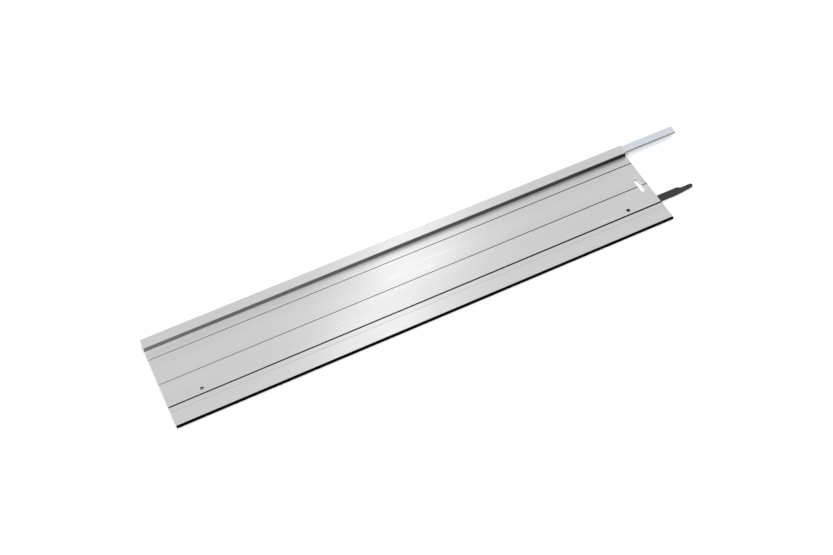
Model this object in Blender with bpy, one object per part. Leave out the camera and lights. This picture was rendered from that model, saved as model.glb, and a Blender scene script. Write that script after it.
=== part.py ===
"""Guide rail (track) for a plunge saw, with its joining bar and its locating tongue.

The rail lies on a table: X runs along it, Y runs from the cutting edge to the
raised rib, and Z is up. The origin is on the table under the middle of the rail.
Sizes are in millimetres, and the mesh functions turn them into metres.
"""
import math

import bmesh
import bpy
from mathutils import Matrix, Vector

MM = 0.001
GAP = 0.3                     # clearance between neighbouring pieces

# Rail profile: an aluminium extrusion, cut square at both ends.
RAIL_LENGTH = 1000.0
RAIL_FRONT = -97.0            # front edge of the plate, behind the splinter guard
RAIL_REAR = 98.4              # outer face of the rib's rear wall
PLATE_TOP = 5.5               # the saw's base slides on this level
PLATE_UNDER = 3.3
LEG_BOTTOM = 1.0
LEG_WIDTH = 1.2

# Rib: the raised box along the rear edge that guides the saw.
RIB_TOP = 15.5
RIB_FRONT = 77.2
RIB_LIP_UNDER = 14.6          # the roof overhangs the glide liner above this level
RIB_FRONT_WALL = 78.2         # outer face of the front wall, behind the liner
RIB_FOOT = 78.2
RIB_RECESS_FRONT = 80.2
RIB_WEB_UNDER = 5.0
CHANNEL_FRONT = 80.1          # the box channel that the joining bar lies in
CHANNEL_REAR = 97.1
CHANNEL_FLOOR = 8.3
CHANNEL_ROOF = 13.9

# Grooves in the plate's upper face, by the Y of their middle.
SIGHT_LINE_Y = -67.4
INLAY_Y = -56.2
FRONT_GROOVE_Y = -3.2
REAR_GROOVE_Y = 55.4
GROOVE_WIDTH = 1.2
GROOVE_DEPTH = 0.9
INLAY_WIDTH = 2.3
INLAY_GROOVE_DEPTH = 0.9
INLAY_PROUD = 0.2

# Rubber parts under and along the plate.
STRIP_THICKNESS = PLATE_UNDER - GAP
STRIPS = {
    "grip_strip_front": (-86.0, -66.0),
    "grip_strip_middle": (-10.0, 10.0),
    "grip_strip_rear": (26.0, 50.0),
}
GUARD_FRONT = -100.0
GUARD_TOP = 5.2
MIDDLE_STRIP_END = 466.0      # stops short of the hanging slot
STRIP_END = RAIL_LENGTH / 2 - 1.0

# Glide liner: an L strip on the rib's front wall, its foot on the plate.
LINER_THICKNESS = 0.8
LINER_FOOT_FRONT = 76.2

# Joining bar and its clamp screws.
BAR_LENGTH = 230.0
BAR_OUT = 115.0
BAR_CHAMFER = 0.6
CLAMP_SCREW_RADIUS = 2.7
CLAMP_SCREW_LENGTH = 4.0
CLAMP_SCREW_FROM_END = (30.0, 90.0)

# Locating tongue, its channel under the plate and its stop screw.
TONGUE_Y = -45.4
TONGUE_WIDTH = 15.8
TONGUE_BOTTOM = 1.5
TONGUE_TOP = 3.6
TONGUE_INSIDE = 74.0
TONGUE_OUT = 75.5
TONGUE_TAPER_FROM = 38.0      # past the rail's end, on the front side
TONGUE_TAPER = 3.7            # how far the front side has come in at the tip
TONGUE_STEP = (45.5, 52.0)    # the rear side comes in between these, past the rail's end
TONGUE_STEP_DEPTH = 3.9
TONGUE_TIP_RADII = (4.6, 2.9)  # front and rear corners of the tip
TONGUE_BEND_RADIUS = 3.0
TONGUE_GROOVE_DEPTH = 1.3
TONGUE_GROOVE_END = 496.0
CHANNEL_LIP_TOP = 1.2
CHANNEL_LIP_BOTTOM = 0.4
CHANNEL_MOUTH = 8.6
CHANNEL_WALL = 1.6
LOCK_HOLE_FROM_END = 66.5
LOCK_HOLE_RADIUS = 3.4
LOCK_SCREW_RADIUS = 3.0
LOCK_SCREW_TOP = 5.2
DOG_POINT_RADIUS = 1.6

# Hanging slot near the right end, with a round notch on its outer side.
SLOT_CENTRE = (484.6, -0.6)
SLOT_SIZE = (9.6, 38.0)
SLOT_CORNER = 4.5
NOTCH_RADIUS = 3.5
NOTCH_X = 487.4

ROUND_SIDES = 24

HALF = RAIL_LENGTH / 2


# ---------------------------------------------------------------- outlines

def fillet(corners, segments=3):
    """Outline points from (a, b) corners or (a, b, radius) rounded corners."""
    points = []
    count = len(corners)
    for i, corner in enumerate(corners):
        here = Vector(corner[:2])
        radius = corner[2] if len(corner) > 2 else 0.0
        if radius == 0.0:
            points.append(tuple(here))
            continue
        before = (Vector(corners[i - 1][:2]) - here).normalized()
        after = (Vector(corners[(i + 1) % count][:2]) - here).normalized()
        half_angle = before.angle(after) / 2
        centre = here + (before + after).normalized() * (radius / math.sin(half_angle))
        start = here + before * (radius / math.tan(half_angle)) - centre
        end = here + after * (radius / math.tan(half_angle)) - centre
        turn = start.angle_signed(end)
        for step in range(segments + 1):
            arm = start.copy()
            arm.rotate(Matrix.Rotation(-turn * step / segments, 2))
            points.append(tuple(centre + arm))
    return points


def groove(middle, width, depth):
    """Square groove in the plate's upper face, from front to rear."""
    low, high = middle - width / 2, middle + width / 2
    floor = PLATE_TOP - depth
    return [(low, PLATE_TOP), (low, floor), (high, floor), (high, PLATE_TOP)]


def strip_seat(front, rear):
    """Two legs under the plate that hold a grip strip, from rear to front."""
    return [
        (rear + LEG_WIDTH, PLATE_UNDER), (rear + LEG_WIDTH, LEG_BOTTOM),
        (rear, LEG_BOTTOM), (rear, PLATE_UNDER),
        (front, PLATE_UNDER), (front, LEG_BOTTOM),
        (front - LEG_WIDTH, LEG_BOTTOM), (front - LEG_WIDTH, PLATE_UNDER),
    ]


def tongue_channel():
    """T-shaped channel under the plate for the tongue, from rear to front."""
    half = TONGUE_WIDTH / 2 + GAP
    mouth = CHANNEL_MOUTH / 2
    roof = TONGUE_TOP + GAP
    rear_half = [
        (half + CHANNEL_WALL, PLATE_UNDER), (half + CHANNEL_WALL, CHANNEL_LIP_BOTTOM, 0.3),
        (mouth, CHANNEL_LIP_BOTTOM, 0.2), (mouth, CHANNEL_LIP_TOP),
        (half, CHANNEL_LIP_TOP), (half, roof),
    ]
    front_half = [(-corner[0],) + corner[1:] for corner in reversed(rear_half)]
    return [(TONGUE_Y + corner[0],) + corner[1:] for corner in rear_half + front_half]


def rail_outline():
    """Cross-section of the extrusion as (y, z) points: over the top, back underneath."""
    top = [(RAIL_FRONT, PLATE_UNDER, 0.3), (RAIL_FRONT, PLATE_TOP, 0.5)]
    top += [(SIGHT_LINE_Y - 0.4, PLATE_TOP), (SIGHT_LINE_Y, PLATE_TOP - 0.3),
            (SIGHT_LINE_Y + 0.4, PLATE_TOP)]
    top += groove(INLAY_Y, INLAY_WIDTH + 2 * GAP, INLAY_GROOVE_DEPTH)
    top += groove(FRONT_GROOVE_Y, GROOVE_WIDTH, GROOVE_DEPTH)
    top += groove(REAR_GROOVE_Y, GROOVE_WIDTH, GROOVE_DEPTH)
    rib = [
        (RIB_FRONT_WALL, PLATE_TOP), (RIB_FRONT_WALL, RIB_LIP_UNDER),
        (RIB_FRONT, RIB_LIP_UNDER, 0.3), (RIB_FRONT, RIB_TOP, 0.6),
        (RAIL_REAR, RIB_TOP, 0.9), (RAIL_REAR, LEG_BOTTOM, 0.4),
        (CHANNEL_REAR, LEG_BOTTOM, 0.3), (CHANNEL_REAR, RIB_WEB_UNDER, 0.4),
        (RIB_RECESS_FRONT, RIB_WEB_UNDER, 0.4), (RIB_RECESS_FRONT, LEG_BOTTOM, 0.3),
        (RIB_FOOT, LEG_BOTTOM, 0.3), (RIB_FOOT, PLATE_UNDER, 0.5),
    ]
    under = (strip_seat(*STRIPS["grip_strip_rear"]) + strip_seat(*STRIPS["grip_strip_middle"])
             + tongue_channel() + strip_seat(*STRIPS["grip_strip_front"]))
    return fillet(top + rib + under)


def bar_channel_outline():
    """Closed channel inside the rib, open at both ends of the rail."""
    return fillet([
        (CHANNEL_FRONT, CHANNEL_FLOOR, 0.4), (CHANNEL_FRONT, CHANNEL_ROOF, 0.4),
        (CHANNEL_REAR, CHANNEL_ROOF, 0.4), (CHANNEL_REAR, CHANNEL_FLOOR, 0.4),
    ], segments=2)


def box_outline(front, rear, bottom, top, radius):
    """Rectangle with rounded or chamfered corners."""
    return [(front, bottom, radius), (front, top, radius),
            (rear, top, radius), (rear, bottom, radius)]


def slot_outline():
    """Hanging slot in plan: a rounded rectangle joined to its notch."""
    (x, y), (width, length) = SLOT_CENTRE, SLOT_SIZE
    left, right = x - width / 2, x + width / 2
    near, far = y - length / 2, y + length / 2
    reach = math.acos((right - NOTCH_X) / NOTCH_RADIUS)
    notch = []
    steps = 10
    for step in range(steps + 1):
        angle = -reach + 2 * reach * step / steps
        notch.append((NOTCH_X + NOTCH_RADIUS * math.cos(angle),
                      y + NOTCH_RADIUS * math.sin(angle)))
    corners = [(left, near, SLOT_CORNER), (right, near, SLOT_CORNER)]
    corners += notch + [(right, far, SLOT_CORNER), (left, far, SLOT_CORNER)]
    return fillet(corners, segments=5)


def tongue_outline():
    """Tongue in plan: straight inside the rail, tapered to a round tip outside."""
    front, rear = TONGUE_Y - TONGUE_WIDTH / 2, TONGUE_Y + TONGUE_WIDTH / 2
    inner, tip = HALF - TONGUE_INSIDE, HALF + TONGUE_OUT
    return fillet([
        (inner, front, 1.5),
        (HALF + TONGUE_TAPER_FROM, front, TONGUE_BEND_RADIUS),
        (tip, front + TONGUE_TAPER, TONGUE_TIP_RADII[0]),
        (tip, rear - TONGUE_STEP_DEPTH, TONGUE_TIP_RADII[1]),
        (HALF + TONGUE_STEP[1], rear - TONGUE_STEP_DEPTH, TONGUE_BEND_RADIUS),
        (HALF + TONGUE_STEP[0], rear, TONGUE_BEND_RADIUS),
        (inner, rear, 1.5),
    ], segments=5)


def circle_outline(centre, radius):
    """Round hole in plan."""
    turns = [2 * math.pi * step / ROUND_SIDES for step in range(ROUND_SIDES)]
    return [(centre[0] + radius * math.cos(turn), centre[1] + radius * math.sin(turn))
            for turn in turns]


# ------------------------------------------------------------------ meshes

def prism(name, loops, place, travel, origin=(0.0, 0.0, 0.0)):
    """Fills the first loop around the others and extrudes it along travel."""
    bm = bmesh.new()
    edges = []
    for loop in loops:
        verts = [bm.verts.new(place(*point) - Vector(origin)) for point in loop]
        edges += [bm.edges.new(pair) for pair in zip(verts, verts[1:] + verts[:1])]
    bmesh.ops.triangle_fill(bm, use_beauty=True, use_dissolve=False, edges=edges)
    grown = bmesh.ops.extrude_face_region(bm, geom=bm.faces[:])["geom"]
    moved = [item for item in grown if isinstance(item, bmesh.types.BMVert)]
    bmesh.ops.translate(bm, vec=Vector(travel), verts=moved)
    bmesh.ops.scale(bm, vec=Vector((MM, MM, MM)), verts=bm.verts)
    bmesh.ops.recalc_face_normals(bm, faces=bm.faces)
    mesh = bpy.data.meshes.new(name)
    bm.to_mesh(mesh)
    bm.free()
    return mesh


def lengthwise(name, loops, start, end, origin=(0.0, 0.0, 0.0)):
    """Extrudes (y, z) loops along X from start to end."""
    return prism(name, loops, lambda y, z: Vector((start, y, z)),
                 (end - start, 0.0, 0.0), origin)


def upright(name, loops, bottom, top, origin=(0.0, 0.0, 0.0)):
    """Extrudes (x, y) loops upward from bottom to top."""
    return prism(name, loops, lambda x, y: Vector((x, y, bottom)),
                 (0.0, 0.0, top - bottom), origin)


def grub_screw(name, rings, socket_width, socket_depth):
    """Turned screw along -Z from (radius, z) rings, with a hexagon socket in its top."""
    def ring(bm, radius_at, z):
        verts = []
        for step in range(ROUND_SIDES):
            turn = 2 * math.pi * step / ROUND_SIDES
            radius = radius_at(turn)
            verts.append(bm.verts.new((radius * math.cos(turn) * MM,
                                       radius * math.sin(turn) * MM, z * MM)))
        return verts

    def hexagon(turn):
        sixth = math.pi / 3
        return socket_width / 2 / math.cos((turn + sixth / 2) % sixth - sixth / 2)

    bm = bmesh.new()
    stack = [ring(bm, hexagon, -socket_depth), ring(bm, hexagon, 0.0)]
    stack += [ring(bm, lambda turn, r=radius: r, z) for radius, z in rings]
    for lower, upper in zip(stack, stack[1:]):
        for i in range(ROUND_SIDES):
            j = (i + 1) % ROUND_SIDES
            bm.faces.new((lower[i], lower[j], upper[j], upper[i]))
    bm.faces.new(stack[0])
    bm.faces.new(stack[-1])
    bmesh.ops.recalc_face_normals(bm, faces=bm.faces)
    mesh = bpy.data.meshes.new(name)
    bm.to_mesh(mesh)
    bm.free()
    mesh.shade_smooth()
    mesh.set_sharp_from_angle(angle=math.radians(35))
    return mesh


# ----------------------------------------------------- objects and materials

def material(name, colour, roughness, metallic=0.0):
    """Principled material with its main values."""
    made = bpy.data.materials.new(name)
    made.use_nodes = True
    shader = made.node_tree.nodes["Principled BSDF"]
    shader.inputs["Base Color"].default_value = (*colour, 1.0)
    shader.inputs["Roughness"].default_value = roughness
    shader.inputs["Metallic"].default_value = metallic
    return made


def add(mesh, finish, location=(0.0, 0.0, 0.0), flipped=False):
    """Puts a mesh in the scene as an object of the same name."""
    made = bpy.data.objects.new(mesh.name, mesh)
    made.data.materials.append(finish)
    made.location = Vector(location) * MM
    if flipped:
        made.rotation_euler = (math.pi, 0.0, 0.0)
    bpy.context.scene.collection.objects.link(made)
    return made


def cut(target, mesh):
    """Subtracts a mesh from an object with a Boolean modifier."""
    cutter = bpy.data.objects.new(mesh.name, mesh)
    cutter.hide_render = True
    cutter.display_type = "WIRE"
    bpy.context.scene.collection.objects.link(cutter)
    boolean = target.modifiers.new(mesh.name, "BOOLEAN")
    boolean.operation = "DIFFERENCE"
    boolean.solver = "EXACT"
    boolean.object = cutter


# ------------------------------------------------------------------- pieces

def build_rail(finish):
    """The extrusion, with its hanging slot, lock holes and tapped clamp holes."""
    loops = [rail_outline(), bar_channel_outline()]
    rail = add(lengthwise("rail_profile", loops, -HALF, HALF), finish)
    cut(rail, upright("cutter_slot", [slot_outline()], -2.0, PLATE_TOP + 2.0))
    middle = (CHANNEL_FRONT + CHANNEL_REAR) / 2
    for side in (-1, 1):
        hole = circle_outline((side * (HALF - LOCK_HOLE_FROM_END), TONGUE_Y), LOCK_HOLE_RADIUS)
        cut(rail, upright(f"cutter_lock_hole_{side}", [hole], 2.5, PLATE_TOP + 2.0))
        for from_end in CLAMP_SCREW_FROM_END:
            centre = (side * (HALF - from_end), middle)
            hole = circle_outline(centre, CLAMP_SCREW_RADIUS + GAP)
            cut(rail, upright(f"cutter_clamp_hole_{side}_{from_end:.0f}", [hole],
                              RIB_WEB_UNDER - 1.0, CHANNEL_FLOOR + 1.0))
    return rail


def build_rubber_parts(finish):
    """Splinter guard along the front edge and grip strips under the plate."""
    guard_rear = STRIPS["grip_strip_front"][0] - LEG_WIDTH - GAP
    guard = fillet([
        (GUARD_FRONT, 0.0, 0.3), (GUARD_FRONT, GUARD_TOP, 0.6),
        (RAIL_FRONT - GAP, GUARD_TOP, 0.2), (RAIL_FRONT - GAP, STRIP_THICKNESS),
        (guard_rear, STRIP_THICKNESS, 0.3), (guard_rear, 0.0, 0.3),
    ])
    add(lengthwise("splinter_guard", [guard], -HALF, HALF), finish)
    for name, (front, rear) in STRIPS.items():
        section = fillet(box_outline(front + GAP, rear - GAP, 0.0, STRIP_THICKNESS, 0.3), 2)
        right = MIDDLE_STRIP_END if name == "grip_strip_middle" else STRIP_END
        add(lengthwise(name, [section], -STRIP_END, right), finish)


def build_glide_parts(finish):
    """Inlay strip in the plate and liner on the rib's front wall."""
    floor = PLATE_TOP - INLAY_GROOVE_DEPTH + GAP
    inlay = fillet(box_outline(INLAY_Y - INLAY_WIDTH / 2, INLAY_Y + INLAY_WIDTH / 2,
                               floor, PLATE_TOP + INLAY_PROUD, 0.25), 2)
    add(lengthwise("glide_inlay", [inlay], -HALF, HALF), finish)
    bottom, back = PLATE_TOP + GAP, RIB_FRONT_WALL - GAP
    liner = fillet([
        (LINER_FOOT_FRONT, bottom), (LINER_FOOT_FRONT, bottom + LINER_THICKNESS, 0.4),
        (back - LINER_THICKNESS, bottom + LINER_THICKNESS, 0.4),
        (back - LINER_THICKNESS, RIB_LIP_UNDER - GAP),
        (back, RIB_LIP_UNDER - GAP), (back, bottom),
    ])
    add(lengthwise("glide_liner", [liner], -HALF, HALF), finish)


def build_bar(finish):
    """Flat steel bar that slides in the rib's channel and joins two rails."""
    end = HALF + BAR_OUT
    section = fillet(box_outline(CHANNEL_FRONT + GAP, CHANNEL_REAR - GAP,
                                 CHANNEL_FLOOR + GAP, CHANNEL_ROOF - GAP, BAR_CHAMFER), 2)
    centre = (end - BAR_LENGTH / 2, (CHANNEL_FRONT + CHANNEL_REAR) / 2,
              (CHANNEL_FLOOR + CHANNEL_ROOF) / 2)
    mesh = lengthwise("joining_bar", [section], end - BAR_LENGTH, end, centre)
    add(mesh, finish, centre)


def build_clamp_screws(finish):
    """Four grub screws in the rib's web, turned from below against the bar."""
    rings = [(CLAMP_SCREW_RADIUS - 0.3, 0.0), (CLAMP_SCREW_RADIUS, -0.3),
             (CLAMP_SCREW_RADIUS, -CLAMP_SCREW_LENGTH + 0.6),
             (CLAMP_SCREW_RADIUS - 0.6, -CLAMP_SCREW_LENGTH)]
    middle = (CHANNEL_FRONT + CHANNEL_REAR) / 2
    head = CHANNEL_FLOOR - CLAMP_SCREW_LENGTH
    for end, side in (("left", -1), ("right", 1)):
        for place, from_end in zip(("outer", "inner"), CLAMP_SCREW_FROM_END):
            mesh = grub_screw(f"clamp_screw_{end}_{place}", rings, 3.0, 2.2)
            add(mesh, finish, (side * (HALF - from_end), middle, head), flipped=True)


def build_tongue(finish):
    """Tongue that slides under the plate, with a groove for the stop screw."""
    centre = (HALF, TONGUE_Y, (TONGUE_BOTTOM + TONGUE_TOP) / 2)
    mesh = upright("locating_tongue", [tongue_outline()], TONGUE_BOTTOM, TONGUE_TOP, centre)
    tongue = add(mesh, finish, centre)
    half = DOG_POINT_RADIUS + GAP
    screw_x = HALF - LOCK_HOLE_FROM_END
    groove_plan = fillet([
        (screw_x - half, TONGUE_Y - half, half * 0.9), (TONGUE_GROOVE_END, TONGUE_Y - half, half * 0.9),
        (TONGUE_GROOVE_END, TONGUE_Y + half, half * 0.9), (screw_x - half, TONGUE_Y + half, half * 0.9),
    ], segments=5)
    cut(tongue, upright("cutter_tongue_groove", [groove_plan],
                        TONGUE_TOP - TONGUE_GROOVE_DEPTH, TONGUE_TOP + 1.0))


def build_stop_screw(finish):
    """Short screw in the plate whose dog point runs in the tongue's groove."""
    groove_floor = TONGUE_TOP - TONGUE_GROOVE_DEPTH
    shoulder = TONGUE_TOP + GAP - LOCK_SCREW_TOP
    point = groove_floor + GAP - LOCK_SCREW_TOP
    rings = [(LOCK_SCREW_RADIUS - 0.2, 0.0), (LOCK_SCREW_RADIUS, -0.2),
             (LOCK_SCREW_RADIUS, shoulder), (DOG_POINT_RADIUS, shoulder),
             (DOG_POINT_RADIUS, point)]
    mesh = grub_screw("tongue_stop_screw", rings, 3.0, 1.0)
    add(mesh, finish, (HALF - LOCK_HOLE_FROM_END, TONGUE_Y, LOCK_SCREW_TOP))


def main():
    for item in list(bpy.data.objects):
        bpy.data.objects.remove(item, do_unlink=True)
    aluminium = material("satin_aluminium", (0.72, 0.72, 0.73), 0.38, 1.0)
    zinc = material("zinc_plated_steel", (0.62, 0.67, 0.74), 0.32, 1.0)
    black_steel = material("black_oxide_steel", (0.03, 0.03, 0.03), 0.4, 1.0)
    rubber = material("black_rubber", (0.012, 0.012, 0.012), 0.7)
    glide = material("glide_plastic", (0.05, 0.05, 0.055), 0.5)
    tongue_plastic = material("tongue_plastic", (0.045, 0.045, 0.048), 0.55)
    build_rail(aluminium)
    build_rubber_parts(rubber)
    build_glide_parts(glide)
    build_bar(zinc)
    build_clamp_screws(black_steel)
    build_tongue(tongue_plastic)
    build_stop_screw(black_steel)


main()
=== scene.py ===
"""Looks of the plunge saw's guide rail: finishes, fine detail, floor, light and camera."""
import math

import bmesh
import bpy
from mathutils import Matrix, Vector


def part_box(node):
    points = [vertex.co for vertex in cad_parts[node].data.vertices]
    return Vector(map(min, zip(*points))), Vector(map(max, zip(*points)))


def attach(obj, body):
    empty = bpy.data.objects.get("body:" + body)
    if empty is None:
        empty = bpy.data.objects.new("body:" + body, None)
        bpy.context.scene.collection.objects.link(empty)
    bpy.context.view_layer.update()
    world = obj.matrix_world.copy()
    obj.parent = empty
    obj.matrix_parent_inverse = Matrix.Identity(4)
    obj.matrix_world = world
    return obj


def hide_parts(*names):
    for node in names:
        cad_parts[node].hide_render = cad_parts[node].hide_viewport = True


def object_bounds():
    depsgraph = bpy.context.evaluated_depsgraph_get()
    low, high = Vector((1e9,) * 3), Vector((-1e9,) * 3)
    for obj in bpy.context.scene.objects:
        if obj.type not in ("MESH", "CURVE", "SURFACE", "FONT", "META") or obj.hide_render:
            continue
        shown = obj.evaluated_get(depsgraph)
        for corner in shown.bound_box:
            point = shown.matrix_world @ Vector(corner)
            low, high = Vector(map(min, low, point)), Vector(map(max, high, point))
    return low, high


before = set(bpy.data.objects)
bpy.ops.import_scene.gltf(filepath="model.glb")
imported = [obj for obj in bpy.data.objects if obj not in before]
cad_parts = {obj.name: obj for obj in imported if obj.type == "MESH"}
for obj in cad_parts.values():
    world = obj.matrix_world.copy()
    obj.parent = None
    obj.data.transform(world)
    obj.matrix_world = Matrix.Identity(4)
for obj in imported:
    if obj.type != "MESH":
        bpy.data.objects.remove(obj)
cad_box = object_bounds()

MM = 0.001

# Camera: it looks at a point near the middle of the rail, from in front and above.
CAMERA_TARGET = Vector((0.009, 0.0026, 0.0))
CAMERA_DISTANCE = 2.556
CAMERA_AZIMUTH = math.radians(-21.24)
CAMERA_ELEVATION = math.radians(52.71)
CAMERA_ROLL = math.radians(-5.3)
CAMERA_LENS = 59.45

# Studio: brightness of the white surroundings, and two soft boxes with places and sizes in
# metres and power in watts. The key light is a long strip behind the rail, aslant to it.
HORIZON = 0.90
ZENITH = 1.32
KEY_PLACE = (0.42, 1.245, 1.767)
KEY_TARGET = (0.0, 0.0, 0.0)
KEY_SIZE = (1.4, 0.22)
KEY_DIRECTION = (0.645, 0.764, 0.0)
KEY_POWER = 1.95
FILL_PLACE = (-1.2, -2.2, 1.6)
FILL_TARGET = (0.05, 0.0, 0.0)
FILL_SIZE = (4.4, 3.0)
FILL_POWER = 25.0
FLOOR_SIZE = 60.0
FLOOR_DROP = 0.2 * MM   # keeps the floor clear of the strips that rest on it

# Fine shape that the CAD solids leave out.
END_CHAMFER = 0.15 * MM       # broken edge where the extrusions are sawn off
BAR_CHAMFER = 0.5 * MM
RIM_CHAMFER = 0.25 * MM       # broken edge round the slot and the holes
SHARP_ANGLE = math.radians(33)
CIRCLE_SIDES = 48

# Hanging slot, with a small notch in its right side, and the holes, as in the CAD.
PLATE_TOP = 5.5 * MM
SLOT_MIDDLE = Vector((0.4846, -0.0006))
SLOT_SIZE = Vector((0.0096, 0.038))
SLOT_CORNER = 4.5 * MM
NOTCH_RADIUS = 3.5 * MM
NOTCH_X = 0.4874
LOCK_HOLE_RADIUS = 3.4 * MM
LOCK_HOLES = ((-0.4335, -0.0454), (0.4335, -0.0454))
LOCK_HOLE_BOTTOM = 2.5 * MM              # inside the tongue's channel
CLAMP_HOLE_RADIUS = 3.0 * MM
CLAMP_HOLE_SPAN = (4.0 * MM, 9.0 * MM)   # from below the rib's web to inside its box

# Faces of the plate: (front, rear) limits in Y of its lines and of the tongue's channel.
GROOVES = ((-0.0045, -0.0019), (0.0541, 0.0567), (-0.0583, -0.0541))
GROOVE_MARGIN = 0.7 * MM   # how far past a groove's own edges its limits reach
SIGHT_LINE = (-0.0679, -0.0669)
LINE_DEPTH = 1.2 * MM      # every line ends above this depth under the plate's top
HOLE_DEPTH = 6.0 * MM      # and every hole above this one
TONGUE_CHANNEL = (-0.0540, -0.0368)
UNDER_TOP = 0.05 * MM      # a face this far under the plate's top isn't part of it
SAWN_NORMAL = 0.01         # a sawn face's normal has an X part larger than this

# A face counts as flat if its normal's Z part is at least this.
FLAT_PLATE = 0.9
FLAT_BAR = 0.6
FLAT_TONGUE = 0.97

# Finish of the plate: painted shade beside its lines, and a band in front of the rib that is less
# metallic and painted paler, as painted light.
LINE_SHADE_WIDTH = 0.8 * MM
RIB_FOOT = 0.0771                  # Y where the plate meets the rib's liner
RIB_FACE = 0.1 * MM                # the finish changes over this distance at the foot
DULL_AND_LIT_BAND = (11.0 * MM, 4.0 * MM)  # distances from the foot where it starts and is full
METALLIC = 0.9

INLAY_SPREAD = 1.24   # the soft inlay is pressed against its groove's sides

# Tongue: where its sides come in, past the rail's end, and its rounded corners.
TAPER_FROM = 38.0 * MM
TAPER = 3.7 * MM
STEP = (45.5 * MM, 52.0 * MM)
STEP_DEPTH = 3.9 * MM
TIP_RADII = (4.6 * MM, 2.9 * MM)
BEND_RADIUS = 3.0 * MM
INNER_RADIUS = 1.5 * MM               # of its two corners inside the rail
TONGUE_EDGE = (0.9 * MM, 0.45 * MM)   # its top chamfer: width in plan, height
TONGUE_UNDER_EDGE = 0.25 * MM

# Lanes in the tongue's top: how far each lies off the middle and ends past the rail's end.
LANES = ((-5.2, 61.0), (-3.1, 64.0), (-1.0, 67.0), (1.1, 67.0), (3.2, 63.0), (5.3, 43.0))
LANE_START = 3.0 * MM
LANE_WIDTH = 1.1 * MM
LANE_DEPTH = 0.3 * MM
LANE_FLOOR = (0.1 * MM, 0.5 * MM)     # depths between which a flat face is a lane's floor

# Groove in the tongue's top that the stop screw's point runs in.
STOP_GROOVE_HALF = 1.9 * MM
STOP_GROOVE_DEPTH = 1.3 * MM
STOP_GROOVE_END = 4.0 * MM            # distance inside the rail's end

# Grub screws: metric threads. A socket is (width across flats, depth), and the stop
# screw's dog point is (radius, length).
THREAD_PITCH = 1.0 * MM
THREAD_DEPTH = 0.5 * MM
THREAD_FLANK = 2.6                    # slope of its flanks, in thread depths a pitch
THREAD_CREST = 0.15                   # part of the depth cut off for a flat crest
THREAD_STEPS = 12                     # rings of vertices in one pitch
SCREW_SIDES = 72
SCREW_CHAMFER = 0.35 * MM
SOCKET_CHAMFER = 0.12 * MM
SOCKET_FLARE = 1.04                   # its mouth's radius, in radii to its corners
CLAMP_SCREW_RADIUS = 2.9 * MM
CLAMP_SOCKET = (3.0 * MM, 2.2 * MM)
CUP_DEPTH = 0.3 * MM
CUP_RADII = (0.5, 0.3)                # of its rim and its floor, in screw radii
STOP_SCREW_RADIUS = 3.2 * MM
STOP_SOCKET = (3.0 * MM, 1.0 * MM)
DOG_POINT = (1.6 * MM, 1.3 * MM)
DOG_CHAMFER = 0.2 * MM


# ------------------------------------------------------------------ node trees

class Nodes:
    """Builds a material's node tree with short calls.

    Keyword arguments set the shader's plain values; an underscore stands for a space.
    """

    def __init__(self, name, **values):
        self.material = bpy.data.materials.new(name)
        self.material.use_nodes = True
        self.tree = self.material.node_tree
        self.shader = self.tree.nodes["Principled BSDF"]
        for socket, value in values.items():
            self.shader.inputs[socket.replace("_", " ")].default_value = value

    def add(self, kind, inputs=None, **settings):
        """Adds a node; inputs maps a socket's name or index to a value or a link."""
        node = self.tree.nodes.new("ShaderNode" + kind)
        for name, value in settings.items():
            setattr(node, name, value)
        for socket, value in (inputs or {}).items():
            self.join(value, node.inputs[socket])
        return node

    def join(self, value, socket):
        """Links value to socket, or stores it there if it is a plain value."""
        if isinstance(value, bpy.types.NodeSocket):
            self.tree.links.new(value, socket)
        else:
            socket.default_value = value

    def place(self, scale=(1.0, 1.0, 1.0)):
        """Object coordinates, stretched."""
        coordinates = self.add("TexCoord").outputs["Object"]
        return self.add("Mapping", {"Vector": coordinates, "Scale": scale}).outputs[0]

    def noise(self, scale, stretch=(1.0, 1.0, 1.0), detail=2.0, roughness=0.5):
        """Noise from 0 to 1 in object space; scale is in cells a metre."""
        inputs = {"Vector": self.place(stretch), "Scale": scale, "Detail": detail,
                  "Roughness": roughness}
        return self.add("TexNoise", inputs).outputs[0]

    def lengthwise(self, left, right):
        """A number that goes evenly from left, at the rail's left end, to right."""
        coordinates = self.add("TexCoord").outputs["Object"]
        along = self.add("SeparateXYZ", {"Vector": coordinates}).outputs["X"]
        return self.ramp(along, left, right, cad_box[0][0], -cad_box[0][0])

    def ramp(self, value, low, high, start=0.3, end=0.7):
        """Maps value, from start to end, to numbers from low to high."""
        inputs = {"Value": value, "From Min": start, "From Max": end,
                  "To Min": low, "To Max": high}
        return self.add("MapRange", inputs).outputs[0]

    def math(self, operation, a, b):
        return self.add("Math", {0: a, 1: b}, operation=operation).outputs[0]

    def times(self, a, b):
        return self.math("MULTIPLY", a, b)

    def blend(self, factor, first, second):
        """Colour that goes from first to second with factor."""
        node = self.add("Mix", data_type="RGBA")
        for socket, value in (("Factor", factor), ("A", first), ("B", second)):
            found = [s for s in node.inputs if s.name == socket and s.enabled][0]
            self.join(value, found)
        return [s for s in node.outputs if s.enabled][0]

    def bump(self, height, strength, distance):
        inputs = {"Height": height, "Strength": strength, "Distance": distance}
        self.set("Normal", self.add("Bump", inputs).outputs[0])

    def set(self, socket, value):
        """Gives the material's shader a value or a link."""
        self.join(value, self.shader.inputs[socket])


def rgb(red, green, blue):
    """Opaque colour."""
    return (red, green, blue, 1.0)


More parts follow.
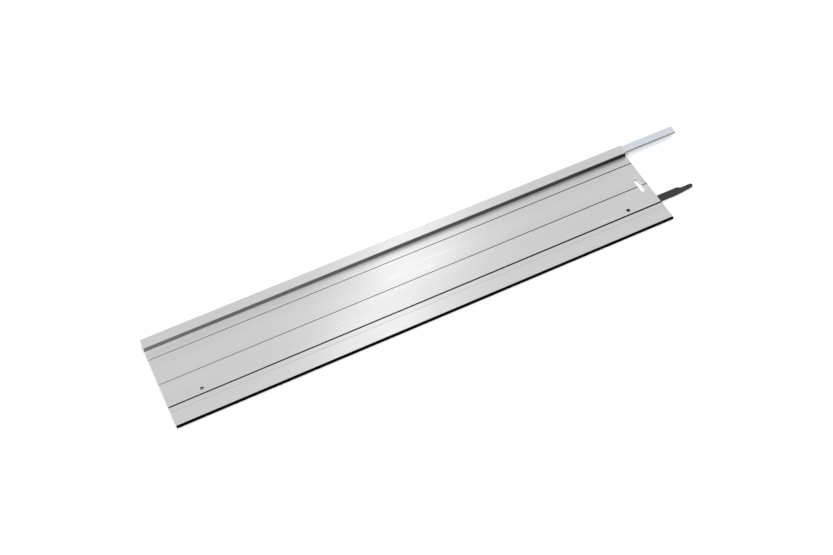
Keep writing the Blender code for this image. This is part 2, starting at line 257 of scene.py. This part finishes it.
def near_lines(made, across):
    """1 on the edges of the grooves and the inlay, and 0 away from them."""
    nearness = 0.0
    for front, rear in GROOVES:
        middle, half = (front + rear) / 2, (rear - front) / 2 - GROOVE_MARGIN
        distance = made.math("ABSOLUTE", made.math("SUBTRACT", across, middle), 0.0)
        near = made.ramp(distance, 1.0, 0.0, half, half + LINE_SHADE_WIDTH)
        nearness = made.math("MAXIMUM", near, nearness)
    return nearness


def in_front_of_rib(made, across):
    """1 on the plate along the rib's foot, and 0 away from it and on the rib."""
    start, full = DULL_AND_LIT_BAND
    rising = made.ramp(across, 0.0, 1.0, RIB_FOOT - start, RIB_FOOT - full)
    return made.times(rising, made.ramp(across, 1.0, 0.0, RIB_FOOT, RIB_FOOT + RIB_FACE))


def anodised_colour(made, lines, scuffs):
    """Streaky grey, cool at the rail's left end and warm at its right, with paler scuffs."""
    bands = made.noise(45.0, (0.03, 1.0, 1.0), detail=2.0)
    tone = made.math("ADD", made.times(bands, 0.5), made.times(lines, 0.5))
    tone = made.ramp(tone, 0.0, 1.0)
    cool = made.blend(tone, rgb(0.474, 0.474, 0.482), rgb(0.513, 0.513, 0.521))
    warm = made.blend(tone, rgb(0.481, 0.470, 0.474), rgb(0.520, 0.509, 0.513))
    colour = made.blend(made.lengthwise(0.0, 1.0), cool, warm)
    return made.blend(made.times(scuffs, 0.35), colour, rgb(0.61, 0.61, 0.61))


def satin_aluminium():
    """Anodised extrusion: fine die lines along X, and a highlight that runs aslant to them.

    The plate is less metallic in front of the rib, and painted paler there as painted light, most
    of all at the left end;
    beside its lines painted shade darkens it, more towards the right end.
    """
    made = Nodes("satin_aluminium", Anisotropic=0.8, Anisotropic_Rotation=0.885)
    lines = made.noise(900.0, (0.004, 1.0, 1.0), detail=3.0, roughness=0.6)
    clouds = made.noise(9.0, (0.5, 1.0, 1.0), detail=3.0)
    scuffs = made.ramp(made.noise(420.0, (0.015, 1.0, 1.0), detail=2.0), 0.0, 1.0, 0.66, 0.72)
    worn = anodised_colour(made, lines, scuffs)
    position = made.add("SeparateXYZ", {"Vector": made.place()})
    across = position.outputs["Y"]
    on_top = made.ramp(position.outputs["Z"], 0.0, 1.0,
                       PLATE_TOP - LINE_DEPTH, PLATE_TOP - LINE_DEPTH / 2)
    dull_and_painted_light = made.times(in_front_of_rib(made, across), on_top)
    # painted light: along the rib's foot the plate's colour is made paler, most at the left end,
    # so that the liner mirrors less dark in it
    pale = made.blend(made.times(dull_and_painted_light, made.lengthwise(0.9, 0.05)), worn, rgb(0.66, 0.66, 0.66))
    # painted shade: the plate is coloured darker beside its grooves and inlay, more towards the
    # right end
    painted_line_shade = made.times(made.times(near_lines(made, across), on_top), made.lengthwise(0.0, 1.0))
    made.set("Base Color", made.blend(painted_line_shade, pale, rgb(0.03, 0.03, 0.03)))
    dulled = made.times(dull_and_painted_light, made.lengthwise(0.85, 0.1))
    made.set("Metallic", made.math("SUBTRACT", METALLIC, dulled))
    rough = made.ramp(clouds, 0.30, 0.36)
    made.set("Roughness", made.math("SUBTRACT", rough, made.times(scuffs, 0.05)))
    made.set("Tangent", made.add("Tangent", direction_type="RADIAL", axis="X").outputs[0])
    made.bump(lines, 0.25, 0.00004)
    return made.material


def shaded_aluminium(name, dark, light, darkening):
    """Inside of a fine line in the plate, and of the lock holes and the tongue's channel,
    coloured dark as painted shade.

    darkening says how far the painted shade goes to black at the rail's right end, from 0 to 1.
    """
    made = Nodes(name, Metallic=0.6, Roughness=0.55)
    mottle = made.noise(160.0, (0.05, 1.0, 1.0), detail=3.0)
    tone = made.blend(made.ramp(mottle, 0.0, 1.0), dark, light)
    made.set("Base Color", made.blend(made.lengthwise(0.0, darkening), tone, rgb(0.0, 0.0, 0.0)))
    made.bump(mottle, 0.3, 0.00004)
    return made.material


def sawn_aluminium(name, metallic, dark, light):
    """Bare metal with the marks of the tool that cut it."""
    made = Nodes(name, Metallic=metallic)
    marks = made.noise(1500.0, (1.0, 1.0, 0.05), detail=2.0)
    made.set("Base Color", made.blend(marks, dark, light))
    made.set("Roughness", made.ramp(marks, 0.28, 0.5))
    made.bump(marks, 0.5, 0.00005)
    return made.material


def zinc(name, dark, light, rough):
    """Bright zinc plating: bluish, with a faint violet tint that drifts along the steel."""
    made = Nodes(name, Metallic=1.0)
    drift = made.noise(14.0, (1.0, 0.6, 1.0), detail=2.0)
    grain = made.noise(700.0, (0.08, 1.0, 1.0), detail=3.0)
    tint = made.blend(made.ramp(drift, 0.0, 1.0), dark, light)
    made.set("Base Color", made.blend(made.ramp(grain, 0.0, 0.12), tint, rgb(0.78, 0.80, 0.84)))
    made.set("Roughness", made.ramp(grain, rough, rough + 0.12))
    made.bump(grain, 0.2, 0.00003)
    return made.material


def rubber(name, colour, rough, grain_size, depth, gloss):
    """Matt rubber or foam with a fine grain and a slight bloom."""
    made = Nodes(name, Specular_IOR_Level=gloss)
    grain = made.noise(1.0 / grain_size, detail=3.0, roughness=0.6)
    bloom = made.noise(30.0, (0.2, 1.0, 1.0), detail=3.0)
    paler = rgb(*(channel * 1.7 + 0.001 for channel in colour))
    made.set("Base Color", made.blend(made.ramp(bloom, 0.0, 1.0), rgb(*colour), paler))
    made.set("Roughness", made.ramp(grain, rough - 0.06, rough + 0.08))
    made.bump(grain, 0.5, depth)
    return made.material


def plastic(name, left, right, rough, gloss, stretch):
    """Dark technical plastic, with one colour at the rail's left end and one at its right.

    Its fine marks run the way that stretch says.
    """
    made = Nodes(name, Specular_IOR_Level=gloss)
    marks = made.noise(1200.0, stretch, detail=3.0, roughness=0.65)
    clouds = made.noise(25.0, (0.3, 1.0, 1.0), detail=2.0)
    tone = made.math("ADD", made.lengthwise(0.0, 1.0), made.ramp(clouds, -0.08, 0.08))
    made.set("Base Color", made.blend(tone, rgb(*left), rgb(*right)))
    made.set("Roughness", made.ramp(marks, rough - 0.05, rough + 0.12))
    made.bump(marks, 0.35, 0.00004)
    return made.material


def black_steel():
    """Black oxide on turned steel, worn bright in small specks."""
    made = Nodes("black_oxide_steel", Metallic=1.0)
    specks = made.noise(2600.0, detail=3.0)
    worn = made.ramp(specks, 0.0, 1.0, 0.62, 0.75)
    made.set("Base Color", made.blend(worn, rgb(0.02, 0.02, 0.022), rgb(0.16, 0.16, 0.165)))
    made.set("Roughness", made.ramp(specks, 0.32, 0.5))
    made.bump(specks, 0.3, 0.00003)
    return made.material


# ---------------------------------------------------------------------- meshes

def end_loops(node):
    """Outlines of a CAD extrusion's left end, as lists of (y, z) points."""
    bm = bmesh.new()
    bm.from_mesh(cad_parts[node].data)
    bmesh.ops.remove_doubles(bm, verts=bm.verts, dist=1e-6)
    left = min(vert.co.x for vert in bm.verts)
    face_on_end = {face for face in bm.faces
                   if all(abs(vert.co.x - left) < 1e-6 for vert in face.verts)}
    rim = {edge for edge in bm.edges
           if len([face for face in edge.link_faces if face in face_on_end]) == 1}
    loops = []
    while rim:
        first = min(rim, key=lambda edge: edge.index)
        rim.remove(first)
        loop = [first.verts[0], first.verts[1]]
        while loop[-1] is not loop[0]:
            edge = next(edge for edge in loop[-1].link_edges if edge in rim)
            rim.remove(edge)
            loop.append(edge.other_vert(loop[-1]))
        loops.append([(vert.co.y, vert.co.z) for vert in loop[:-1]])
    bm.free()
    return loops


def area(loop):
    """Signed area of a closed outline: above 0 if it runs anticlockwise."""
    following = loop[1:] + loop[:1]
    return sum(a[0] * b[1] - b[0] * a[1] for a, b in zip(loop, following)) / 2


def wound(loop, anticlockwise):
    """The outline, running the way asked for."""
    return loop if (area(loop) > 0) == anticlockwise else loop[::-1]


def shrunk(loop, inset):
    """The outline with its sides moved by inset to the left of their direction."""
    moved = []
    for i, point in enumerate(loop):
        here = Vector(point)
        before = (here - Vector(loop[i - 1])).normalized()
        after = (Vector(loop[(i + 1) % len(loop)]) - here).normalized()
        left_before = Vector((-before.y, before.x))
        left_after = Vector((-after.y, after.x))
        mitre = left_before + left_after
        moved.append(tuple(here + mitre * (2 * inset / max(mitre.length_squared, 0.5))))
    return moved


def object_from(bm, name):
    """New object from a bmesh, which it frees, with its faces pointing out."""
    bmesh.ops.recalc_face_normals(bm, faces=bm.faces)
    mesh = bpy.data.meshes.new(name)
    bm.to_mesh(mesh)
    bm.free()
    made = bpy.data.objects.new(name, mesh)
    bpy.context.scene.collection.objects.link(made)
    return made


def lofted(name, stations, place):
    """Joins matching outlines, one set for each station, and fills the two end ones."""
    bm = bmesh.new()
    rings = [[[bm.verts.new(place(at, *point)) for point in loop] for loop in loops]
             for at, loops in stations]
    for near, far in zip(rings, rings[1:]):
        for near_loop, far_loop in zip(near, far):
            count = len(near_loop)
            for i in range(count):
                j = (i + 1) % count
                bm.faces.new((near_loop[i], near_loop[j], far_loop[j], far_loop[i]))
    for end in (rings[0], rings[-1]):
        edges = [bm.edges.get((loop[i], loop[(i + 1) % len(loop)]))
                 for loop in end for i in range(len(loop))]
        bmesh.ops.triangle_fill(bm, use_beauty=True, use_dissolve=False, edges=edges)
    return object_from(bm, name)


def extruded(name, node, chamfer=END_CHAMFER):
    """A CAD extrusion rebuilt from its own outline, with its sawn edges broken."""
    low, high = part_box(node)
    loops = end_loops(node)
    outer = max(loops, key=lambda loop: abs(area(loop)))
    loops = [wound(loop, loop is outer) for loop in loops]
    inner = [shrunk(loop, chamfer) for loop in loops]
    stations = [(low.x, inner), (low.x + chamfer, loops),
                (high.x - chamfer, loops), (high.x, inner)]
    return lofted(name, stations, lambda x, y, z: (x, y, z))


def cut(target, cutter):
    """Takes cutter out of target and leaves a plain mesh."""
    boolean = target.modifiers.new("cut", "BOOLEAN")
    boolean.operation = "DIFFERENCE"
    boolean.solver = "EXACT"
    boolean.object = cutter
    evaluated = target.evaluated_get(bpy.context.evaluated_depsgraph_get())
    target.data = bpy.data.meshes.new_from_object(evaluated)
    target.modifiers.clear()
    bpy.data.objects.remove(cutter)


def circle(middle, radius):
    """Round outline, anticlockwise."""
    turns = [2 * math.pi * step / CIRCLE_SIDES for step in range(CIRCLE_SIDES)]
    return [(middle[0] + radius * math.cos(t), middle[1] + radius * math.sin(t)) for t in turns]


def arc(middle, radius, start, end, steps):
    """Points on an arc, from start to end in degrees."""
    turns = [math.radians(start + (end - start) * step / steps) for step in range(steps + 1)]
    return [(middle[0] + radius * math.cos(t), middle[1] + radius * math.sin(t)) for t in turns]


def rounded(corners, steps=10):
    """Anticlockwise outline from (x, y, radius) corners."""
    points = []
    for i, (x, y, radius) in enumerate(corners):
        here = Vector((x, y))
        before = (Vector(corners[i - 1][:2]) - here).normalized()
        after = (Vector(corners[(i + 1) % len(corners)][:2]) - here).normalized()
        half_angle = before.angle(after) / 2
        middle = here + (before + after).normalized() * (radius / math.sin(half_angle))
        tangent = radius / math.tan(half_angle)
        arm = here + before * tangent - middle
        turn = arm.angle_signed(here + after * tangent - middle)
        for step in range(steps + 1):
            points.append(tuple(middle + Matrix.Rotation(-turn * step / steps, 2) @ arm))
    return points


def stadium(left, right, y, half):
    """Slot along X with round ends, anticlockwise."""
    return arc((left + half, y), half, 90, 270, 12) + arc((right - half, y), half, -90, 90, 12)


def slot_outline():
    """Rounded rectangle with a round notch in its right side, anticlockwise."""
    half = SLOT_SIZE / 2
    left, right = SLOT_MIDDLE.x - half.x, SLOT_MIDDLE.x + half.x
    near, far = SLOT_MIDDLE.y - half.y, SLOT_MIDDLE.y + half.y
    corner = SLOT_CORNER
    reach = math.degrees(math.acos((right - NOTCH_X) / NOTCH_RADIUS))
    return (arc((left + corner, near + corner), corner, 180, 270, 8)
            + arc((right - corner, near + corner), corner, 270, 360, 8)
            + arc((NOTCH_X, SLOT_MIDDLE.y), NOTCH_RADIUS, -reach, reach, 16)
            + arc((right - corner, far - corner), corner, 0, 90, 8)
            + arc((left + corner, far - corner), corner, 90, 180, 8))


def upright(name, outlines, bottom, top):
    """Solid that stands on outlines in plan."""
    return lofted(name, [(bottom, outlines), (top, outlines)], lambda z, x, y: (x, y, z))


def punch(target, outline, bottom, top, rim):
    """Cuts an upright hole, flared by the rim chamfer where it meets the height rim."""
    wide = shrunk(outline, -RIM_CHAMFER)
    stations = [(bottom, [outline]), (rim - RIM_CHAMFER, [outline]), (rim, [wide]), (top, [wide])]
    cut(target, lofted("punch", stations, lambda z, x, y: (x, y, z)))


def finish_shading(piece):
    """Smooth arcs, crisp edges, and flat faces that stay flat."""
    piece.data.shade_smooth()
    piece.data.set_sharp_from_angle(angle=SHARP_ANGLE)
    weighted = piece.modifiers.new("weighted_normals", "WEIGHTED_NORMAL")
    weighted.keep_sharp = True
    weighted.weight = 100


def paint(piece, *finishes, choose=None):
    """Gives a piece its finishes; choose says which one a face takes, by number."""
    piece.data.materials.clear()
    for finish in finishes:
        piece.data.materials.append(finish)
    if choose:
        for face in piece.data.polygons:
            face.material_index = choose(face)


def mount(piece, body, slot, *nodes):
    """The piece moves with a body and stands for CAD nodes."""
    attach(piece, body)
    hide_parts(*nodes)


# ---------------------------------------------------------------------- pieces

def within(limits, value):
    """Whether a value lies between two limits."""
    return limits[0] < value < limits[1]


def rail_finish(face):
    """Number of a face's finish.

    0 satin, 1 sawn, 2 painted shade in a groove, a lock hole or the tongue's channel, 3 lighter
    painted shade in the sight line, 4 slot walls painted pale as painted light.
    """
    middle = face.center
    sawn = abs(face.normal.x) > SAWN_NORMAL
    if within((PLATE_TOP - LINE_DEPTH, PLATE_TOP - UNDER_TOP), middle.z):
        if any(within(groove, middle.y) for groove in GROOVES):
            return 2
        if within(SIGHT_LINE, middle.y):
            return 3
    if within((PLATE_TOP - HOLE_DEPTH, PLATE_TOP - UNDER_TOP), middle.z):
        for hole in LOCK_HOLES:
            if (middle.xy - Vector(hole)).length < LOCK_HOLE_RADIUS + RIM_CHAMFER:
                return 2
    if within(TONGUE_CHANNEL, middle.y) and middle.z < PLATE_TOP - 2 * UNDER_TOP and not sawn:
        return 2
    from_slot = (middle.xy - SLOT_MIDDLE).length
    if from_slot < SLOT_SIZE.y / 2 + MM and abs(face.normal.z) < FLAT_PLATE:
        return 4
    return 1 if sawn else 0


def middle_of(node):
    """Middle of a CAD node's box."""
    low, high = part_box(node)
    return (low + high) / 2


def make_rail(finishes):
    """The extrusion, with its slot, the two lock holes and the clamp screws' four holes."""
    rail = extruded("rail_extrusion", "rail_profile")
    below, above = -MM, PLATE_TOP + 2 * MM
    punch(rail, slot_outline(), below, above, PLATE_TOP)
    for hole in LOCK_HOLES:
        punch(rail, circle(hole, LOCK_HOLE_RADIUS), LOCK_HOLE_BOTTOM, above, PLATE_TOP)
    bottom, top = CLAMP_HOLE_SPAN
    for end in ("left", "right"):
        for place in ("outer", "inner"):
            screw = middle_of(f"clamp_screw_{end}_{place}")
            outline = circle((screw.x, screw.y), CLAMP_HOLE_RADIUS)
            punch(rail, outline, bottom, top, top)
    paint(rail, *finishes, choose=rail_finish)
    finish_shading(rail)
    mount(rail, "rail", "satin_aluminium", "rail_profile")


def make_strips(finishes):
    """Every plain extruded strip: guard, foam, inlay and liner."""
    for node, slot, piece_name in (
        ("splinter_guard", "black_rubber", "guard_strip"),
        ("grip_strip_front", "grip_foam", "foam_strip_front"),
        ("grip_strip_middle", "grip_foam", "foam_strip_middle"),
        ("grip_strip_rear", "grip_foam", "foam_strip_rear"),
        ("glide_inlay", "glide_plastic", "inlay_strip"),
        ("glide_liner", "glide_plastic", "liner_strip"),
    ):
        piece = extruded(piece_name, node)
        if node == "glide_inlay":
            middle = middle_of(node).y
            for vert in piece.data.vertices:
                vert.co.y = middle + (vert.co.y - middle) * INLAY_SPREAD
        paint(piece, finishes[piece_name])
        finish_shading(piece)
        mount(piece, "rail", slot, node)


def make_bar(finish, edge_finish):
    """Joining bar, rougher and coloured darker on its rounded edges and its ends than on its flat
    sides; the darker colour is painted shade.
    """
    bar = extruded("flat_bar", "joining_bar", BAR_CHAMFER)
    paint(bar, finish, edge_finish, choose=lambda face: int(abs(face.normal.z) < FLAT_BAR))
    finish_shading(bar)
    mount(bar, "bar", "zinc_plated_steel", "joining_bar")


def tongue_outline():
    """Tongue in plan: straight inside the rail, tapered to a round tip outside."""
    low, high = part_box("locating_tongue")
    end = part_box("rail_profile")[1].x
    return rounded([
        (low.x, low.y, INNER_RADIUS),
        (end + TAPER_FROM, low.y, BEND_RADIUS),
        (high.x, low.y + TAPER, TIP_RADII[0]),
        (high.x, high.y - STEP_DEPTH, TIP_RADII[1]),
        (end + STEP[1], high.y - STEP_DEPTH, BEND_RADIUS),
        (end + STEP[0], high.y, BEND_RADIUS),
        (low.x, high.y, INNER_RADIUS),
    ])


def tongue_finish(top):
    """Chooser for a tongue whose top is at this height: 0 flat, 1 edges, 2 floors of lanes."""
    def choose(face):
        if abs(face.normal.z) < FLAT_TONGUE:
            return 1
        return 2 if within(LANE_FLOOR, top - face.center.z) else 0
    return choose


def make_tongue(*finishes):
    """Tongue with broad chamfers, shallow lanes along its top and the stop screw's groove."""
    low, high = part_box("locating_tongue")
    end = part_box("rail_profile")[1].x
    outline = tongue_outline()
    width, height = TONGUE_EDGE
    under = TONGUE_UNDER_EDGE
    stations = [(low.z, [shrunk(outline, under)]), (low.z + under, [outline]),
                (high.z - height, [outline]), (high.z, [shrunk(outline, width)])]
    tongue = lofted("tongue_moulding", stations, lambda z, x, y: (x, y, z))
    screw = middle_of("tongue_stop_screw")
    half = STOP_GROOVE_HALF
    groove = stadium(screw.x - half, end - STOP_GROOVE_END, screw.y, half)
    cut(tongue, upright("groove", [groove], high.z - STOP_GROOVE_DEPTH, high.z + MM))
    lanes = [stadium(end + LANE_START, end + reach * MM, screw.y + offset * MM, LANE_WIDTH / 2)
             for offset, reach in LANES]
    cut(tongue, upright("lanes", lanes, high.z - LANE_DEPTH, high.z + MM))
    paint(tongue, *finishes, choose=tongue_finish(high.z))
    finish_shading(tongue)
    mount(tongue, "tongue", "tongue_plastic", "locating_tongue")


def hexagon(across):
    """Radius of a hexagon, by the angle, from its width across flats."""
    sixth = math.pi / 3
    return lambda turn, depth: across / 2 / math.cos((turn + sixth / 2) % sixth - sixth / 2)


def ring_of(radius):
    """The same radius at every angle."""
    return lambda turn, depth: radius


def thread(radius, length):
    """Radius of a screw thread, by angle and depth, with its two ends turned down."""
    def at(turn, depth):
        phase = (depth / THREAD_PITCH + turn / (2 * math.pi)) % 1.0
        sunk = THREAD_FLANK * abs(phase - 0.5) - THREAD_CREST
        surface = radius - THREAD_DEPTH * min(1.0, max(0.0, sunk))
        from_end = min(depth, length - depth)
        return min(surface, radius - max(0.0, SCREW_CHAMFER - from_end))
    return at


def screw_rings(length, radius, socket, point):
    """A grub screw's rings from its socket's floor out and down to its point.

    Each is a depth under the socket's end and a radius, as a function of angle and depth.
    """
    across, depth = socket
    corner = across / math.sqrt(3)
    thread_end = length - (point[1] if point else 0.0)
    steps = round(thread_end / THREAD_PITCH * THREAD_STEPS)
    turned = thread(radius, thread_end)
    rings = [(depth, hexagon(across)), (SOCKET_CHAMFER, hexagon(across)),
             (0.0, ring_of(corner * SOCKET_FLARE))]
    rings += [(thread_end * step / steps, turned) for step in range(steps + 1)]
    if point:
        rings += [(thread_end, ring_of(point[0])), (length - DOG_CHAMFER, ring_of(point[0])),
                  (length, ring_of(point[0] - DOG_CHAMFER))]
    else:
        rim, floor = CUP_RADII
        rings += [(length, ring_of(radius * rim)), (length - CUP_DEPTH, ring_of(radius * floor))]
    return rings


def make_screw(name, node, body, radius, socket, finish, facing, point=None):
    """Grub screw with a real thread; facing is 1 if its socket looks up, -1 if down.

    point is the dog point's (radius, length), or None for a cup point.
    """
    low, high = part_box(node)
    middle = (low + high) / 2
    top = high.z if facing > 0 else low.z
    turns = [2 * math.pi * step / SCREW_SIDES for step in range(SCREW_SIDES)]
    bm = bmesh.new()
    loops = []
    for deep, radius_at in screw_rings(high.z - low.z, radius, socket, point):
        loops.append([bm.verts.new((middle.x + radius_at(t, deep) * math.cos(t),
                                    middle.y + radius_at(t, deep) * math.sin(t) * facing,
                                    top - facing * deep)) for t in turns])
    for near, far in zip(loops, loops[1:]):
        for i in range(SCREW_SIDES):
            j = (i + 1) % SCREW_SIDES
            bm.faces.new((near[i], near[j], far[j], far[i]))
    bm.faces.new(loops[0])
    bm.faces.new(loops[-1])
    screw = object_from(bm, name)
    paint(screw, finish)
    finish_shading(screw)
    mount(screw, body, "black_oxide_steel", node)


def make_screws(finish):
    """Four clamp screws with cup points, turned from below, and the tongue's stop screw."""
    for end in ("left", "right"):
        for place in ("outer", "inner"):
            make_screw(f"grub_screw_{end}_{place}", f"clamp_screw_{end}_{place}",
                       f"screw_{end}_{place}", CLAMP_SCREW_RADIUS, CLAMP_SOCKET, finish, -1)
    make_screw("stop_screw", "tongue_stop_screw", "stop_screw", STOP_SCREW_RADIUS,
               STOP_SOCKET, finish, 1, DOG_POINT)


# ---------------------------------------------------------------------- studio

def make_floor():
    """Plain pale paper under the rail."""
    bpy.ops.mesh.primitive_plane_add(size=FLOOR_SIZE, location=(0.0, 0.0, -FLOOR_DROP))
    floor = bpy.context.object
    floor.name = "floor"
    made = Nodes("floor_paper", Roughness=0.9, Specular_IOR_Level=0.0)
    grain = made.noise(3.0, detail=2.0)
    made.set("Base Color", made.blend(grain, rgb(0.95, 0.95, 0.95), rgb(0.97, 0.97, 0.97)))
    floor.data.materials.append(made.material)


def soft_light(name, location, target, size, power, along=(1.0, 0.0, 0.0)):
    """Rectangular soft box that shines at a point; its first side lies along a direction."""
    data = bpy.data.lights.new(name, "AREA")
    data.shape = "RECTANGLE"
    data.size, data.size_y = size
    data.energy = power
    light = bpy.data.objects.new(name, data)
    back = (Vector(location) - Vector(target)).normalized()
    side = Vector(along)
    side = (side - back * side.dot(back)).normalized()
    turn = Matrix((side, back.cross(side), back)).transposed().to_4x4()
    light.matrix_world = Matrix.Translation(location) @ turn
    bpy.context.scene.collection.objects.link(light)


def make_world():
    """White studio, brighter overhead than at the horizon."""
    world = bpy.data.worlds.new("studio")
    bpy.context.scene.world = world
    world.use_nodes = True
    tree = world.node_tree
    coordinates = tree.nodes.new("ShaderNodeTexCoord")
    split = tree.nodes.new("ShaderNodeSeparateXYZ")
    strength = tree.nodes.new("ShaderNodeMapRange")
    strength.inputs["To Min"].default_value = HORIZON
    strength.inputs["To Max"].default_value = ZENITH
    background = tree.nodes["Background"]
    background.inputs["Color"].default_value = rgb(1.0, 1.0, 1.0)
    tree.links.new(coordinates.outputs["Generated"], split.inputs[0])
    tree.links.new(split.outputs["Z"], strength.inputs["Value"])
    tree.links.new(strength.outputs[0], background.inputs["Strength"])


def make_light():
    """White surroundings, a key light from behind and a broad, weak one from in front."""
    make_world()
    soft_light("key_strip", KEY_PLACE, KEY_TARGET, KEY_SIZE, KEY_POWER, along=KEY_DIRECTION)
    soft_light("front_fill", FILL_PLACE, FILL_TARGET, FILL_SIZE, FILL_POWER)


def make_camera():
    """Camera with no depth of field, turned and rolled as the constants say."""
    camera = bpy.data.objects.new("camera", bpy.data.cameras.new("camera"))
    camera.data.lens = CAMERA_LENS
    back = Vector((math.sin(CAMERA_AZIMUTH) * math.cos(CAMERA_ELEVATION),
                   -math.cos(CAMERA_AZIMUTH) * math.cos(CAMERA_ELEVATION),
                   math.sin(CAMERA_ELEVATION)))
    aim = (-back).to_track_quat("-Z", "Y").to_matrix().to_4x4()
    camera.matrix_world = (Matrix.Translation(CAMERA_TARGET + back * CAMERA_DISTANCE) @ aim
                           @ Matrix.Rotation(CAMERA_ROLL, 4, "Z"))
    bpy.context.scene.collection.objects.link(camera)
    bpy.context.scene.camera = camera


# -------------------------------------------------------------------- finishes

def rail_finishes():
    """The rail's finishes, in the order of rail_finish's numbers."""
    return (
        satin_aluminium(),
        sawn_aluminium("sawn_aluminium", 1.0, rgb(0.56, 0.56, 0.57), rgb(0.70, 0.70, 0.71)),
        # painted shade: the grooves, lock holes and the tongue's channel are near-black, going to
        # black at the right end; the sight line is a lighter grey
        shaded_aluminium("groove_aluminium", rgb(0.06, 0.06, 0.06), rgb(0.12, 0.12, 0.12), 1.0),
        shaded_aluminium("sight_line", rgb(0.33, 0.33, 0.33), rgb(0.39, 0.39, 0.39), 0.0),
        # painted light: the slot's walls are a pale, mostly non-metallic grey, so the slot looks
        # bright right through
        sawn_aluminium("slot_wall_painted_light", 0.3, rgb(0.85, 0.85, 0.86), rgb(0.93, 0.93, 0.94)),
    )


def strip_finishes():
    """Finish of each plain strip, by the name of its piece."""
    foam = rubber("grip_foam", (0.02, 0.02, 0.022), 0.85, 0.0006, 0.00015, 0.3)
    die_marks = (0.01, 1.0, 1.0)
    return {
        "guard_strip": rubber("black_rubber", (0.001, 0.001, 0.001), 0.7, 0.0004, 0.00004, 0.01),
        "foam_strip_front": foam,
        "foam_strip_middle": foam,
        "foam_strip_rear": foam,
        # painted shade: the inlay is black, going darker towards the right end
        "inlay_strip": plastic("glide_inlay_plastic", (0.016, 0.016, 0.017),
                               (0.001, 0.001, 0.001), 0.4, 0.06, die_marks),
        # painted light and shade: the liner is grey at the left end and near-black at the right,
        # after how the light falls along the rail
        "liner_strip": plastic("glide_plastic", (0.150, 0.150, 0.153),
                               (0.006, 0.006, 0.0065), 0.4, 0.2, die_marks),
    }


def bar_finishes():
    """The bar's flat sides, and its edges and ends."""
    return (
        zinc("zinc_plated_steel", rgb(0.49, 0.545, 0.59), rgb(0.53, 0.54, 0.60), 0.28),
        # painted shade: a darker copy of the zinc for the bar's edges and ends
        zinc("zinc_edge_painted_shade", rgb(0.17, 0.19, 0.19), rgb(0.22, 0.23, 0.24), 0.4),
    )


def tongue_finishes():
    """The tongue's finishes, in the order of tongue_finish's numbers; its edges take a darker
    copy as painted shade, and its lanes' floors a paler one as painted light.
    """
    grain = (0.1, 1.0, 1.0)
    return (
        plastic("tongue_plastic", (0.014, 0.014, 0.015), (0.016, 0.016, 0.017), 0.5, 0.3, grain),
        # painted shade: the edges and sides are darker than the flat top
        plastic("tongue_edge_painted_shade", (0.006, 0.006, 0.006), (0.008, 0.008, 0.008), 0.45, 0.12, grain),
        # painted light: the lanes' floors are paler, so the lanes show as light lines
        plastic("tongue_lanes_painted_light", (0.035, 0.035, 0.036), (0.045, 0.045, 0.046), 0.5, 0.3, grain),
    )


def main():
    make_camera()
    make_floor()
    make_light()
    bpy.context.scene.view_settings.view_transform = "Standard"
    make_rail(rail_finishes())
    make_strips(strip_finishes())
    make_bar(*bar_finishes())
    make_tongue(*tongue_finishes())
    make_screws(black_steel())


main()
